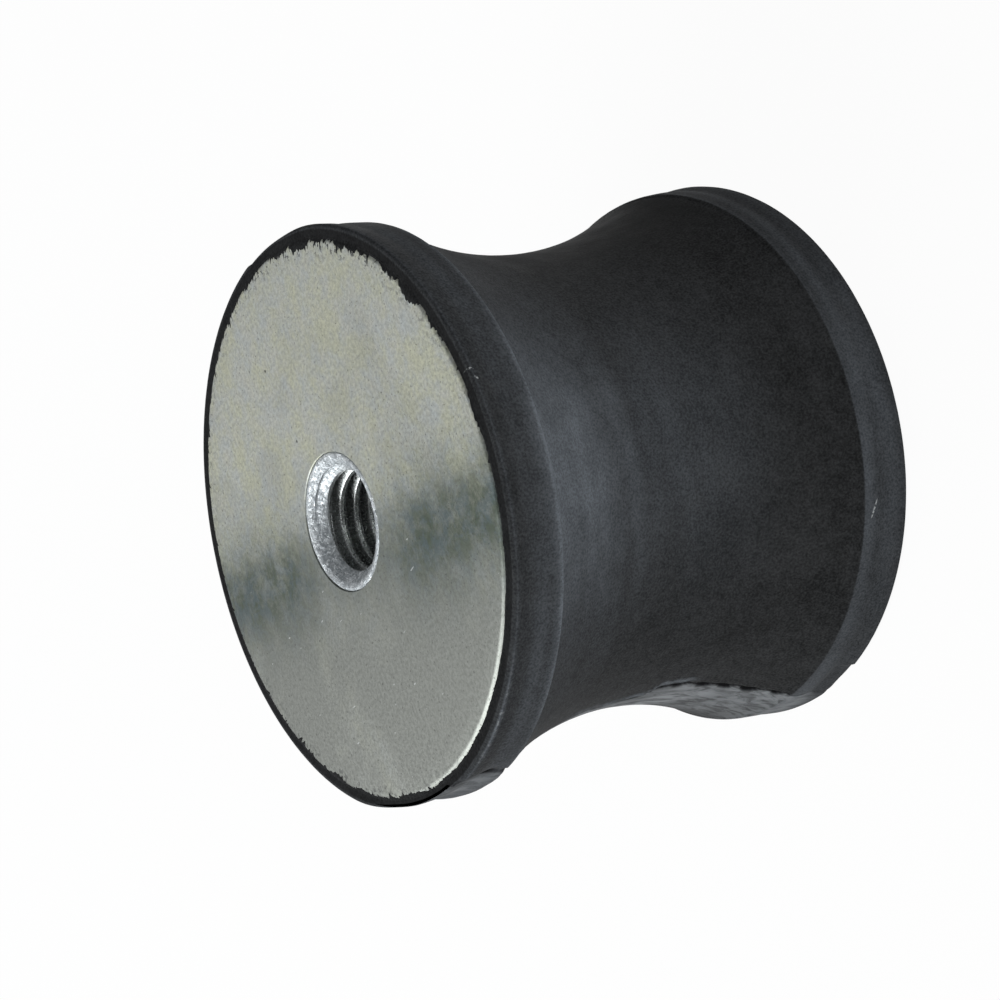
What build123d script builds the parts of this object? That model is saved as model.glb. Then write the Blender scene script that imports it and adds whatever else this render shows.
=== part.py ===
"""Bobbin vibration mount: a waisted rubber body bonded between two steel plates, a threaded bush in each.

Millimetres. The mount stands on its bottom plate: the origin is the middle of that plate's outer
face, and +Z runs along the mount's axis to the top plate. Both ends are alike, so each end piece is
built at the bottom and mirrored to the top. The rubber's two mould seams lie at +X and -X.
"""
from build123d import *
import os
from math import radians, tan

# Driving dimensions: the whole mount
overall_height = 50.0
rim_diameter = 60.0
waist_diameter = 49.6

# Rubber body
rim_height = 5.8  # from the plate's face to the crease where the waist starts
rim_taper = 0.4  # how far the rim's side draws in, on the radius, by the crease
rim_corner_radius = 0.4
groove_depth = 0.15  # shallow groove round each rim
groove_width = 2.8
groove_position = 2.7  # from the plate's face to the groove's middle
seam_width = 0.6  # ridge that the mould's parting line leaves
seam_height = 0.25

# End plates, blanked from sheet
rubber_cover = 1.5  # rubber round the plate's edge, on the radius
plate_thickness = 3.0
edge_roll_width = 0.9  # blanking rolls the outer edge over
edge_roll_depth = 0.25

# Threaded bushes, M12 x 1.75, turned, pressed into the plates from behind
thread_diameter = 12.0
thread_pitch = 1.75
thread_depth = 13.0  # from the plate's face to the end of the full bore
drill_point_angle = 118.0
mouth_diameter = 13.4
mouth_angle = 90.0
collar_diameter = 14.2  # the part that fills the plate's hole
collar_clearance = 0.05  # on the radius, in the plate's hole
barrel_diameter = 18.0  # the part behind the plate, bonded into the rubber
barrel_chamfer = 1.0
end_wall = 2.0  # metal beyond the drill point

# Derived sizes
thread_height_ratio = 1.0825  # diameter of an ISO internal thread's crests: major - ratio x pitch
bore_radius = (thread_diameter - thread_height_ratio * thread_pitch) / 2
plate_radius = rim_diameter / 2 - rubber_cover
rubber_end = edge_roll_depth  # the rubber's end faces lie level with the foot of the rolled edge
middle_plane = Plane.XY.offset(overall_height / 2)


def cone_depth(large_radius, small_radius, angle):
    """Height of a cone frustum between two radii, for its full included angle in degrees."""
    half_angle = radians(angle / 2)
    return (large_radius - small_radius) / tan(half_angle)


def section_point(radius, height):
    """Point of a turned section, in the XZ plane."""
    return Vector(radius, 0, height)


def polyline_edges(points):
    """Straight edges through (radius, height) pairs, one after another."""
    corners = [section_point(radius, height) for radius, height in points]
    return [Line(start, end) for start, end in zip(corners, corners[1:])]


def turned(edges):
    """Solid of revolution about Z from the edges of a closed section."""
    return revolve(make_face(edges), Axis.Z)


def at_top(bottom_solid):
    """The same piece at the other end of the mount."""
    return mirror(bottom_solid, about=middle_plane)


def rolled_disc(hole_radius):
    """Bottom plate's disc, its outer face down and that face's edge rolled over."""
    roll_start = section_point(plate_radius - edge_roll_width, 0)
    roll_end = section_point(plate_radius, edge_roll_depth)
    rolled_edge = TangentArc(roll_start, roll_end, tangent=(1, 0, 0))
    face = Line(section_point(hole_radius, 0), roll_start)
    back = polyline_edges([
        (plate_radius, edge_roll_depth),
        (plate_radius, plate_thickness),
        (hole_radius, plate_thickness),
        (hole_radius, 0),
    ])
    return turned([face, rolled_edge, *back])


def bush_outside():
    """Outer (radius, height) points of the bottom bush, from its mouth to the middle of its closed end."""
    collar_radius = collar_diameter / 2
    barrel_radius = barrel_diameter / 2
    drill_point = cone_depth(bore_radius, 0, drill_point_angle)
    length = thread_depth + drill_point + end_wall
    return [
        (collar_radius, 0),
        (collar_radius, plate_thickness),
        (barrel_radius, plate_thickness),
        (barrel_radius, length - barrel_chamfer),
        (barrel_radius - barrel_chamfer, length),
        (0, length),
    ]


def threaded_bush():
    """Bottom bush: a dished mouth, a blind bore at the thread's crest diameter, a drilled end."""
    mouth_radius = mouth_diameter / 2
    drill_tip = thread_depth + cone_depth(bore_radius, 0, drill_point_angle)
    inside = [
        (0, drill_tip),
        (bore_radius, thread_depth),
        (bore_radius, cone_depth(mouth_radius, bore_radius, mouth_angle)),
        (mouth_radius, 0),
    ]
    outside = bush_outside()
    return turned(polyline_edges([*outside, *inside, outside[0]]))


def bush_seat():
    """Room that the bottom bush takes up in the rubber, with its bore filled."""
    return turned(polyline_edges([(0, 0), *bush_outside(), (0, 0)]))


def rim_edges(proud):
    """Bottom rim's edges, from the axis out along the end face and up to the crease.

    The side stands proud of the true form by that much, which the seam's ridge uses.
    """
    radius = rim_diameter / 2 + proud
    side_start = rubber_end + rim_corner_radius
    slope = rim_taper / (rim_height - side_start)

    def side(height):
        return section_point(radius - slope * (height - side_start), height)

    corner_start = section_point(radius - rim_corner_radius, rubber_end)
    corner = TangentArc(corner_start, side(side_start), tangent=(1, 0, 0))
    groove_start = side(groove_position - groove_width / 2)
    groove_floor = side(groove_position) - Vector(groove_depth, 0, 0)
    groove_end = side(groove_position + groove_width / 2)
    return [
        Line(section_point(0, rubber_end), corner_start),
        corner,
        Line(corner @ 1, groove_start),
        ThreePointArc(groove_start, groove_floor, groove_end),
        Line(groove_end, side(rim_height)),
    ]


def rubber_section(proud=0.0):
    """Half section of the rubber: two rims and the waist's one arc between their creases."""
    bottom_rim = rim_edges(proud)
    top_rim = [mirror(edge, about=middle_plane) for edge in bottom_rim]
    waist_middle = section_point(waist_diameter / 2 + proud, overall_height / 2)
    waist = ThreePointArc(bottom_rim[-1] @ 1, waist_middle, top_rim[-1] @ 1)
    axis_line = Line(section_point(0, rubber_end), section_point(0, overall_height - rubber_end))
    return make_face([*bottom_rim, waist, *top_rim, axis_line])


def mould_seams():
    """Ridges that follow the rubber's outline at +X and -X."""
    half_ridge = extrude(rubber_section(seam_height), amount=seam_width / 2, both=True)
    return half_ridge + mirror(half_ridge, about=Plane.YZ)


def rubber_body():
    """One moulding, bonded face to face with both plates and both bushes."""
    moulding = revolve(rubber_section(), Axis.Z) + mould_seams()
    metal = rolled_disc(0) + bush_seat()
    return moulding - metal - at_top(metal)


bottom_plate = rolled_disc(collar_diameter / 2 + collar_clearance)
bottom_threaded_bush = threaded_bush()
nodes = {
    "rubber_body": rubber_body(),
    "bottom_plate": bottom_plate,
    "top_plate": at_top(bottom_plate),
    "bottom_threaded_bush": bottom_threaded_bush,
    "top_threaded_bush": at_top(bottom_threaded_bush),
}

os.makedirs("parts", exist_ok=True)
for name, solid in nodes.items():
    export_step(solid, f"parts/{name}.step")
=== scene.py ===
"""Dresses the bobbin vibration mount: moulded rubber, passivated steel plates and cut threads.

Sizes are in millimetres until a mesh is made. Every new piece is a grid of points worked out with
numpy: rows run along a section, columns run round the mount's axis, and the skin is closed.
"""
import logging
import math
from dataclasses import dataclass, field
from enum import Enum

import bpy
import numpy as np
from mathutils import Matrix, Vector


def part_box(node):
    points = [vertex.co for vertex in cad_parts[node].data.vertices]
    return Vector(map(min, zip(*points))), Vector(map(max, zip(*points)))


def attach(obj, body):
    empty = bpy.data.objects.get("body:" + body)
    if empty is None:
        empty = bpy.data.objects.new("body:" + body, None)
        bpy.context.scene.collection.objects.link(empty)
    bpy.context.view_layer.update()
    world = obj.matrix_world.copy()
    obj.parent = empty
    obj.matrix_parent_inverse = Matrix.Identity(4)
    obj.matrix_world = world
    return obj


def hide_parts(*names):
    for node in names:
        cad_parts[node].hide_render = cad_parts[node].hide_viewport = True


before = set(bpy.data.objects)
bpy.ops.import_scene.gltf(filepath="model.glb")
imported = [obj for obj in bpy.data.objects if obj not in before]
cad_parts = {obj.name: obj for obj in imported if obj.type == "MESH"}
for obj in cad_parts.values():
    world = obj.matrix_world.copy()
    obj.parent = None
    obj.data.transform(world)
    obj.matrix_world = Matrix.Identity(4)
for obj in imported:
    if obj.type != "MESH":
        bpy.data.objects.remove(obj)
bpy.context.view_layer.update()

METRES = 0.001
FULL_TURN = 2 * math.pi
ROOT = "root"
BARREL_CHAMFER = 1.0  # of each bush's buried end, in millimetres
HALF_DRILL_ANGLE = math.radians(59.0)
# Sockets of the Mix node in its colour mode, where several share a name.
MIX_FIRST, MIX_SECOND, MIX_RESULT = 6, 7, 2
LOG = logging.getLogger("bobbin_mount")

Array = np.ndarray
Colour = tuple[float, float, float]


class Closure(Enum):
    """How a skin's first and last rows are closed."""

    POLES = "poles"
    LOOP = "loop"


class End(Enum):
    """The end of the mount that a piece belongs to."""

    TOP = "top"
    BOTTOM = "bottom"


# ---------------------------------------------------------------------------------------------
# Sizes
# ---------------------------------------------------------------------------------------------


@dataclass(frozen=True)
class MountSizes:
    """Sizes that several pieces share, in millimetres."""

    height: float
    rim_radius: float
    plate_radius: float
    plate_thickness: float
    end_setback: float
    barrel_radius: float
    bush_length: float

    @classmethod
    def from_frame(cls) -> "MountSizes":
        """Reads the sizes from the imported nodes' boxes.

        Returns:
            The shared sizes in millimetres.
        """
        _, rubber_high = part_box("rubber_body")
        plate_low, plate_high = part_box("top_plate")
        bush_low, bush_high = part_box("top_threaded_bush")
        return cls(
            height=plate_high.z / METRES,
            rim_radius=rubber_high.y / METRES,
            plate_radius=plate_high.x / METRES,
            plate_thickness=(plate_high.z - plate_low.z) / METRES,
            end_setback=(plate_high.z - rubber_high.z) / METRES,
            barrel_radius=bush_high.x / METRES,
            bush_length=(bush_high.z - bush_low.z) / METRES,
        )


# ---------------------------------------------------------------------------------------------
# Shapes
# ---------------------------------------------------------------------------------------------


def smooth_step(value: Array, start: float, end: float) -> Array:
    """Rises from 0 at start to 1 at end along the cubic 3t^2 - 2t^3.

    Args:
        value: Where to work it out.
        start: Value at which the rise starts.
        end: Value at which the rise ends.

    Returns:
        The rise, from 0 to 1, in the shape of value.
    """
    t = np.clip((value - start) / (end - start), 0.0, 1.0)
    return t * t * (3.0 - 2.0 * t)


def bell(value: Array, middle: float | Array, width: float) -> Array:
    """Bell curve exp(-((value - middle) / width)^2).

    Args:
        value: Where to work it out.
        middle: Place of the peak.
        width: Distance from the peak to where it has fallen to 1/e.

    Returns:
        The curve's height, 1 at the peak.
    """
    return np.exp(-(((value - middle) / width) ** 2))


def wrapped(angle: Array) -> Array:
    """Angle brought to the range from minus half a turn to half a turn."""
    return (angle + math.pi) % FULL_TURN - math.pi


def around(angle: Array, azimuth: float, spread: float) -> Array:
    """Bell curve round the axis, with its peak and its width in degrees."""
    return bell(wrapped(angle - math.radians(azimuth)), 0.0, math.radians(spread))


def ragged(count: int, seed: int, coarsest: int, finest: int, falloff: float) -> Array:
    """Random closed line: cosines of whole numbers of waves, weaker as they get shorter.

    The amplitude of n waves is n to the power of minus falloff, and the phases are random.

    Args:
        count: Points along the line.
        seed: Seed of the phases.
        coarsest: Fewest waves along the line.
        finest: Most waves along the line.
        falloff: How fast the short waves weaken.

    Returns:
        The line's heights, with mean 0 and standard deviation 1.
    """
    waves = np.arange(count // 2 + 1)
    used = (waves >= coarsest) & (waves <= finest)
    amplitude = np.where(used, np.maximum(waves, 1.0) ** -falloff, 0.0)
    phase = np.random.default_rng(seed).uniform(0.0, FULL_TURN, len(waves))
    line = np.fft.irfft(amplitude * np.exp(1j * phase), count)
    return line / line.std()


@dataclass(frozen=True)
class Swell:
    """Smooth random relief over a turned surface.

    It is a sum of cosines cos(n a + k z + p) of the angle a and the height z, with whole numbers n,
    so that it closes round the axis, and with random k and phase p.

    Attributes:
        seed: Seed of the directions and phases.
        waves: How many cosines are added.
        most_turns: Largest number of waves round the axis.
        shortest: Length of the shortest wave along the axis, in millimetres.
    """

    seed: int
    waves: int
    most_turns: int
    shortest: float

    def at(self, angle: Array, height: Array) -> Array:
        """Relief at each angle and height.

        Args:
            angle: Angles in radians.
            height: Heights in millimetres, in a shape that goes with angle.

        Returns:
            Relief with a standard deviation near 1.
        """
        random = np.random.default_rng(self.seed)
        turns = random.integers(0, self.most_turns + 1, self.waves)
        along = random.uniform(-1.0, 1.0, self.waves) * FULL_TURN / self.shortest
        phase = random.uniform(0.0, FULL_TURN, self.waves)
        total = sum(
            np.cos(n * angle + k * height + p) for n, k, p in zip(turns, along, phase)
        )
        return total * math.sqrt(2.0 / self.waves)


@dataclass
class Skin:
    """A closed skin on a grid of rows along a section and columns round the axis.

    Attributes:
        points: (rows, columns, 3) places in millimetres.
        closure: POLES makes the first and last rows single points, LOOP joins them.
        fields: Named (rows, columns) values that the finish reads.
    """

    points: Array
    closure: Closure
    fields: dict[str, Array] = field(default_factory=dict)

    def turned_over(self) -> "Skin":
        """The same skin half a turn round the X axis through the mount's middle."""
        height = SIZES.height
        flipped = self.points * np.array([1.0, -1.0, -1.0]) + np.array([0.0, 0.0, height])
        return Skin(flipped, self.closure, self.fields)

    def _flat(self, values: Array) -> Array:
        """Per-point values in the mesh's order, with one value for each pole.

        Args:
            values: (rows, columns, ...) values.

        Returns:
            The values with rows and columns in one, and the poles last.
        """
        if self.closure is Closure.LOOP:
            return values.reshape(-1, *values.shape[2:])
        body = values[1:-1].reshape(-1, *values.shape[2:])
        return np.concatenate([body, values[:1, 0], values[-1:, 0]])

    def _quads(self) -> Array:
        """Corner numbers of the four-sided faces, facing outwards."""
        rows, columns = self.points.shape[:2]
        if self.closure is Closure.POLES:
            rows -= 2
        spans = rows if self.closure is Closure.LOOP else rows - 1
        row = np.arange(spans)[:, None]
        column = np.arange(columns)[None, :]
        next_row = (row + 1) % rows
        next_column = (column + 1) % columns
        corners = [
            row * columns + column,
            row * columns + next_column,
            next_row * columns + next_column,
            next_row * columns + column,
        ]
        return np.stack(corners, axis=-1).reshape(-1, 4)

    def _fans(self) -> Array:
        """Corner numbers of the triangles round the two poles."""
        rows, columns = self.points.shape[:2]
        if self.closure is Closure.LOOP:
            return np.zeros((0, 3), int)
        column = np.arange(columns)
        next_column = (column + 1) % columns
        first_pole = (rows - 2) * columns
        last_row = (rows - 3) * columns
        first = np.stack([np.full(columns, first_pole), next_column, column], axis=-1)
        last = np.stack(
            [np.full(columns, first_pole + 1), last_row + column, last_row + next_column], axis=-1
        )
        return np.concatenate([first, last])

    def build(self, name: str, crease_angle: float) -> bpy.types.Object:
        """Makes the mesh object.

        Args:
            name: The piece's name.
            crease_angle: Edges that turn by more than this, in degrees, stay sharp.

        Returns:
            The linked object, at the origin, with its place in its mesh.
        """
        quads, fans = self._quads(), self._fans()
        places = self._flat(self.points) * METRES
        mesh = bpy.data.meshes.new(name)
        mesh.vertices.add(len(places))
        mesh.vertices.foreach_set("co", places.astype(np.float32).ravel())
        corners = np.concatenate([quads.ravel(), fans.ravel()]).astype(np.int32)
        totals = np.concatenate([np.full(len(quads), 4), np.full(len(fans), 3)])
        starts = np.concatenate([[0], np.cumsum(totals)[:-1]])
        mesh.loops.add(len(corners))
        mesh.loops.foreach_set("vertex_index", corners)
        mesh.polygons.add(len(totals))
        mesh.polygons.foreach_set("loop_start", starts.astype(np.int32))
        mesh.update(calc_edges=True)
        mesh.validate()
        for field_name, values in self.fields.items():
            attribute = mesh.attributes.new(field_name, "FLOAT", "POINT")
            attribute.data.foreach_set("value", self._flat(values).astype(np.float32).ravel())
        mesh.shade_smooth()
        mesh.set_sharp_from_angle(angle=math.radians(crease_angle))
        return linked(name, mesh)


def turned(radius: Array, height: Array, angle: Array) -> Array:
    """Points (radius cos a, radius sin a, height) of a turned surface.

    Args:
        radius: Distances from the axis, in a shape that goes with (rows, columns).
        height: Heights in the same shape.
        angle: (columns,) angles round the axis.

    Returns:
        (rows, columns, 3) points.
    """
    x = radius * np.cos(angle)
    y = radius * np.sin(angle)
    z = np.broadcast_to(height, x.shape)
    return np.stack([x, y, z], axis=-1)


def section(*spans: tuple[tuple[float, float], tuple[float, float], int]) -> tuple[Array, Array]:
    """Radii and heights along straight spans, each given by its start, its end and its rows.

    Args:
        spans: (start, end, rows) with (radius, height) ends. A span leaves out its end point.

    Returns:
        The radii and the heights, one after another.
    """
    radius = np.concatenate([np.linspace(a[0], b[0], n, endpoint=False) for a, b, n in spans])
    height = np.concatenate([np.linspace(a[1], b[1], n, endpoint=False) for a, b, n in spans])
    return radius, height


def settle(
    piece: bpy.types.Object, finish: bpy.types.Material, slot: str, *nodes: str
) -> bpy.types.Object:
    """Dresses a piece, rides it on the mount and hides the CAD nodes that it stands for.

    Args:
        piece: The piece, with its mesh made.
        finish: Its material.
        slot: Not used.
        nodes: CAD nodes that the piece replaces.

    Returns:
        The finished piece.
    """
    piece.data.materials.append(finish)
    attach(piece, ROOT)
    if nodes:
        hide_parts(*nodes)
    LOG.info("%s: %d faces", piece.name, len(piece.data.polygons))
    return piece


def linked(name: str, data: bpy.types.ID) -> bpy.types.Object:
    """Puts a new object into the scene.

    Args:
        name: The object's name.
        data: Its mesh, lamp or camera.

    Returns:
        The object.
    """
    made = bpy.data.objects.new(name, data)
    bpy.context.scene.collection.objects.link(made)
    return made


def direction(azimuth: float, elevation: float) -> Vector:
    """Unit vector (cos e cos a, cos e sin a, sin e) from the mount's middle.

    Args:
        azimuth: Angle a from +X, in degrees.
        elevation: Angle e above the horizon, in degrees.

    Returns:
        The vector.
    """
    turn, rise = math.radians(azimuth), math.radians(elevation)
    level = math.cos(rise)
    return Vector((level * math.cos(turn), level * math.sin(turn), math.sin(rise)))


SIZES = MountSizes.from_frame()


# ---------------------------------------------------------------------------------------------
# Finishes
# ---------------------------------------------------------------------------------------------


class NodeSketch:
    """Short hand for laying out the nodes of one material."""

    def __init__(self, name: str) -> None:
        """Starts an empty material.

        Args:
            name: The material's name.
        """
        self.material = bpy.data.materials.new(name)
        self.material.use_nodes = True
        self.tree = self.material.node_tree
        self.tree.nodes.clear()
        self.output = self.tree.nodes.new("ShaderNodeOutputMaterial")
        self.place = self.tree.nodes.new("ShaderNodeTexCoord").outputs["Object"]

    def put(self, socket: bpy.types.NodeSocket, value: object) -> None:
        """Links a socket, or sets it to a plain value.

        Args:
            socket: The input.
            value: The output that feeds it, or a number, a colour or a vector.
        """
        if isinstance(value, bpy.types.NodeSocket):
            self.tree.links.new(value, socket)
        elif isinstance(value, tuple) and len(value) == 3 and socket.type == "RGBA":
            socket.default_value = (*value, 1.0)
        else:
            socket.default_value = value

    def mapped(self, scale: tuple[float, float, float], turn: float = 0.0) -> bpy.types.NodeSocket:
        """Object place in millimetres, turned round the axis and then scaled on each axis.

        Args:
            scale: Factor on each axis.
            turn: Turn round Z in degrees, before the scale.

        Returns:
            The mapped place.
        """
        turned_place = self.tree.nodes.new("ShaderNodeMapping")
        turned_place.inputs["Rotation"].default_value = (0.0, 0.0, math.radians(turn))
        self.put(turned_place.inputs["Vector"], self.place)
        scaled = self.tree.nodes.new("ShaderNodeMapping")
        scaled.inputs["Scale"].default_value = tuple(s / METRES for s in scale)
        self.put(scaled.inputs["Vector"], turned_place.outputs["Vector"])
        return scaled.outputs["Vector"]

    def noise(
        self,
        size: float,
        detail: float = 3.0,
        roughness: float = 0.5,
        stretch: tuple[float, float, float] = (1.0, 1.0, 1.0),
        turn: float = 0.0,
        distortion: float = 0.0,
    ) -> bpy.types.NodeSocket:
        """Noise texture with features of a size in millimetres.

        Args:
            size: Size of the coarsest features.
            detail: Octaves of finer noise.
            roughness: Strength of the finer octaves.
            stretch: How much longer the features are on each axis.
            turn: Turn of the pattern round Z, in degrees.
            distortion: How much the pattern is swirled.

        Returns:
            The noise, near 0.5 on average.
        """
        texture = self.tree.nodes.new("ShaderNodeTexNoise")
        self.put(texture.inputs["Vector"], self.mapped(tuple(1.0 / s for s in stretch), turn))
        texture.inputs["Scale"].default_value = 1.0 / size
        texture.inputs["Detail"].default_value = detail
        texture.inputs["Roughness"].default_value = roughness
        texture.inputs["Distortion"].default_value = distortion
        return texture.outputs["Fac"]

    def spots(self, spacing: float) -> bpy.types.NodeSocket:
        """Distance to the nearest of scattered points.

        Args:
            spacing: Typical distance between the points in millimetres.

        Returns:
            The distance as a share of the spacing.
        """
        texture = self.tree.nodes.new("ShaderNodeTexVoronoi")
        self.put(texture.inputs["Vector"], self.mapped((1.0, 1.0, 1.0)))
        texture.inputs["Scale"].default_value = 1.0 / spacing
        return texture.outputs["Distance"]

    def field(self, name: str) -> bpy.types.NodeSocket:
        """A value that the piece's mesh carries at each point, 0 where it has none.

        Args:
            name: The value's name.

        Returns:
            The value.
        """
        attribute = self.tree.nodes.new("ShaderNodeAttribute")
        attribute.attribute_name = name
        return attribute.outputs["Fac"]

    def radius(self) -> bpy.types.NodeSocket:
        """Distance from the mount's axis in millimetres."""
        length = self.tree.nodes.new("ShaderNodeVectorMath")
        length.operation = "LENGTH"
        self.put(length.inputs[0], self.mapped((1.0, 1.0, 0.0)))
        return length.outputs["Value"]

    def blot(self, mark: "Mark") -> bpy.types.NodeSocket:
        """Strength of a small mark, 1 at its middle and 0 outside its ellipsoid.

        The place is turned so that X points outwards at the mark and Y runs along it, and scaled by
        the mark's half sizes; the strength falls with the distance from the middle.

        Args:
            mark: The mark.

        Returns:
            The strength from 0 to 1.
        """
        azimuth, slope = math.radians(mark.azimuth), math.radians(mark.slope)
        outward = Matrix.Rotation(azimuth, 3, "Z")
        tilt = Matrix.Rotation(slope, 3, "X")
        frame_axes = (outward @ tilt).transposed()
        centre = outward @ Vector((SIZES.rim_radius, 0.0, 0.0))
        middle = Vector((centre.x, centre.y, mark.height)) * METRES
        offset = self.tree.nodes.new("ShaderNodeVectorMath")
        offset.operation = "SUBTRACT"
        self.put(offset.inputs[0], self.place)
        offset.inputs[1].default_value = middle
        parts = []
        reach = (4.0, mark.length, mark.width)
        for axis, half_size in zip(frame_axes, reach):
            dot = self.tree.nodes.new("ShaderNodeVectorMath")
            dot.operation = "DOT_PRODUCT"
            self.put(dot.inputs[0], offset.outputs["Vector"])
            dot.inputs[1].default_value = axis / (half_size * METRES)
            parts.append(self.calc("MULTIPLY", dot.outputs["Value"], dot.outputs["Value"]))
        away = self.calc("ADD", self.calc("ADD", parts[0], parts[1]), parts[2])
        return self.remap(away, 1.0, 0.35)

    def calc(self, operation: str, *values: object) -> bpy.types.NodeSocket:
        """Math node on one to three values.

        Args:
            operation: The node's operation, such as MULTIPLY.
            values: Sockets or numbers.

        Returns:
            The result.
        """
        node = self.tree.nodes.new("ShaderNodeMath")
        node.operation = operation
        for socket, value in zip(node.inputs, values):
            self.put(socket, value)
        return node.outputs["Value"]

    def remap(
        self, value: object, low: float, high: float, to_low: float = 0.0, to_high: float = 1.0
    ) -> bpy.types.NodeSocket:
        """Smooth clamped change of range.

        Args:
            value: What is mapped.
            low: Value that gives to_low.
            high: Value that gives to_high.
            to_low: Result at and beyond low.
            to_high: Result at and beyond high.

        Returns:
            The mapped value.
        """
        node = self.tree.nodes.new("ShaderNodeMapRange")
        node.interpolation_type = "SMOOTHSTEP"
        settings = {"Value": value, "From Min": low, "From Max": high}
        settings |= {"To Min": to_low, "To Max": to_high}
        for name, setting in settings.items():
            self.put(node.inputs[name], setting)
        return node.outputs["Result"]

    def mix(self, share: object, first: object, second: object) -> bpy.types.NodeSocket:
        """Colour between two colours.

        Args:
            share: 0 for the first colour, 1 for the second.
            first: Colour or socket.
            second: Colour or socket.

        Returns:
            The mixed colour.
        """
        node = self.tree.nodes.new("ShaderNodeMix")
        node.data_type = "RGBA"
        self.put(node.inputs["Factor"], share)
        self.put(node.inputs[MIX_FIRST], first)
        self.put(node.inputs[MIX_SECOND], second)
        return node.outputs[MIX_RESULT]

    def bump(
        self, height: object, depth: float, normal: bpy.types.NodeSocket | None = None
    ) -> bpy.types.NodeSocket:
        """Bump from a height between 0 and 1.

        Args:
            height: Height of the relief.
            depth: Depth in millimetres between heights 0 and 1.
            normal: Normal of a coarser bump that this one adds to.

        Returns:
            The bent normal.
        """
        node = self.tree.nodes.new("ShaderNodeBump")
        node.inputs["Distance"].default_value = depth * METRES
        self.put(node.inputs["Height"], height)
        if normal is not None:
            self.put(node.inputs["Normal"], normal)
        return node.outputs["Normal"]

    def surface(self, **values: object) -> bpy.types.Material:
        """Ends the material with a Principled shader.

        Args:
            values: Its sockets, with underscores for spaces.

        Returns:
            The finished material.
        """
        shader = self.tree.nodes.new("ShaderNodeBsdfPrincipled")
        for name, value in values.items():
            self.put(shader.inputs[name.replace("_", " ")], value)
        self.tree.links.new(shader.outputs["BSDF"], self.output.inputs["Surface"])
        return self.material


@dataclass(frozen=True)
class Mark:
    """A small mark on the rubber, an ellipsoid in space that the skin passes through.

    Attributes:
        azimuth: Direction of its middle from the axis, in degrees.
        height: Height of its middle in millimetres.
        length: Half its length in millimetres.
        width: Half its width in millimetres.
        slope: Tilt of its length from level, in degrees.
    """

    azimuth: float
    height: float
    length: float
    width: float
    slope: float


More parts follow.
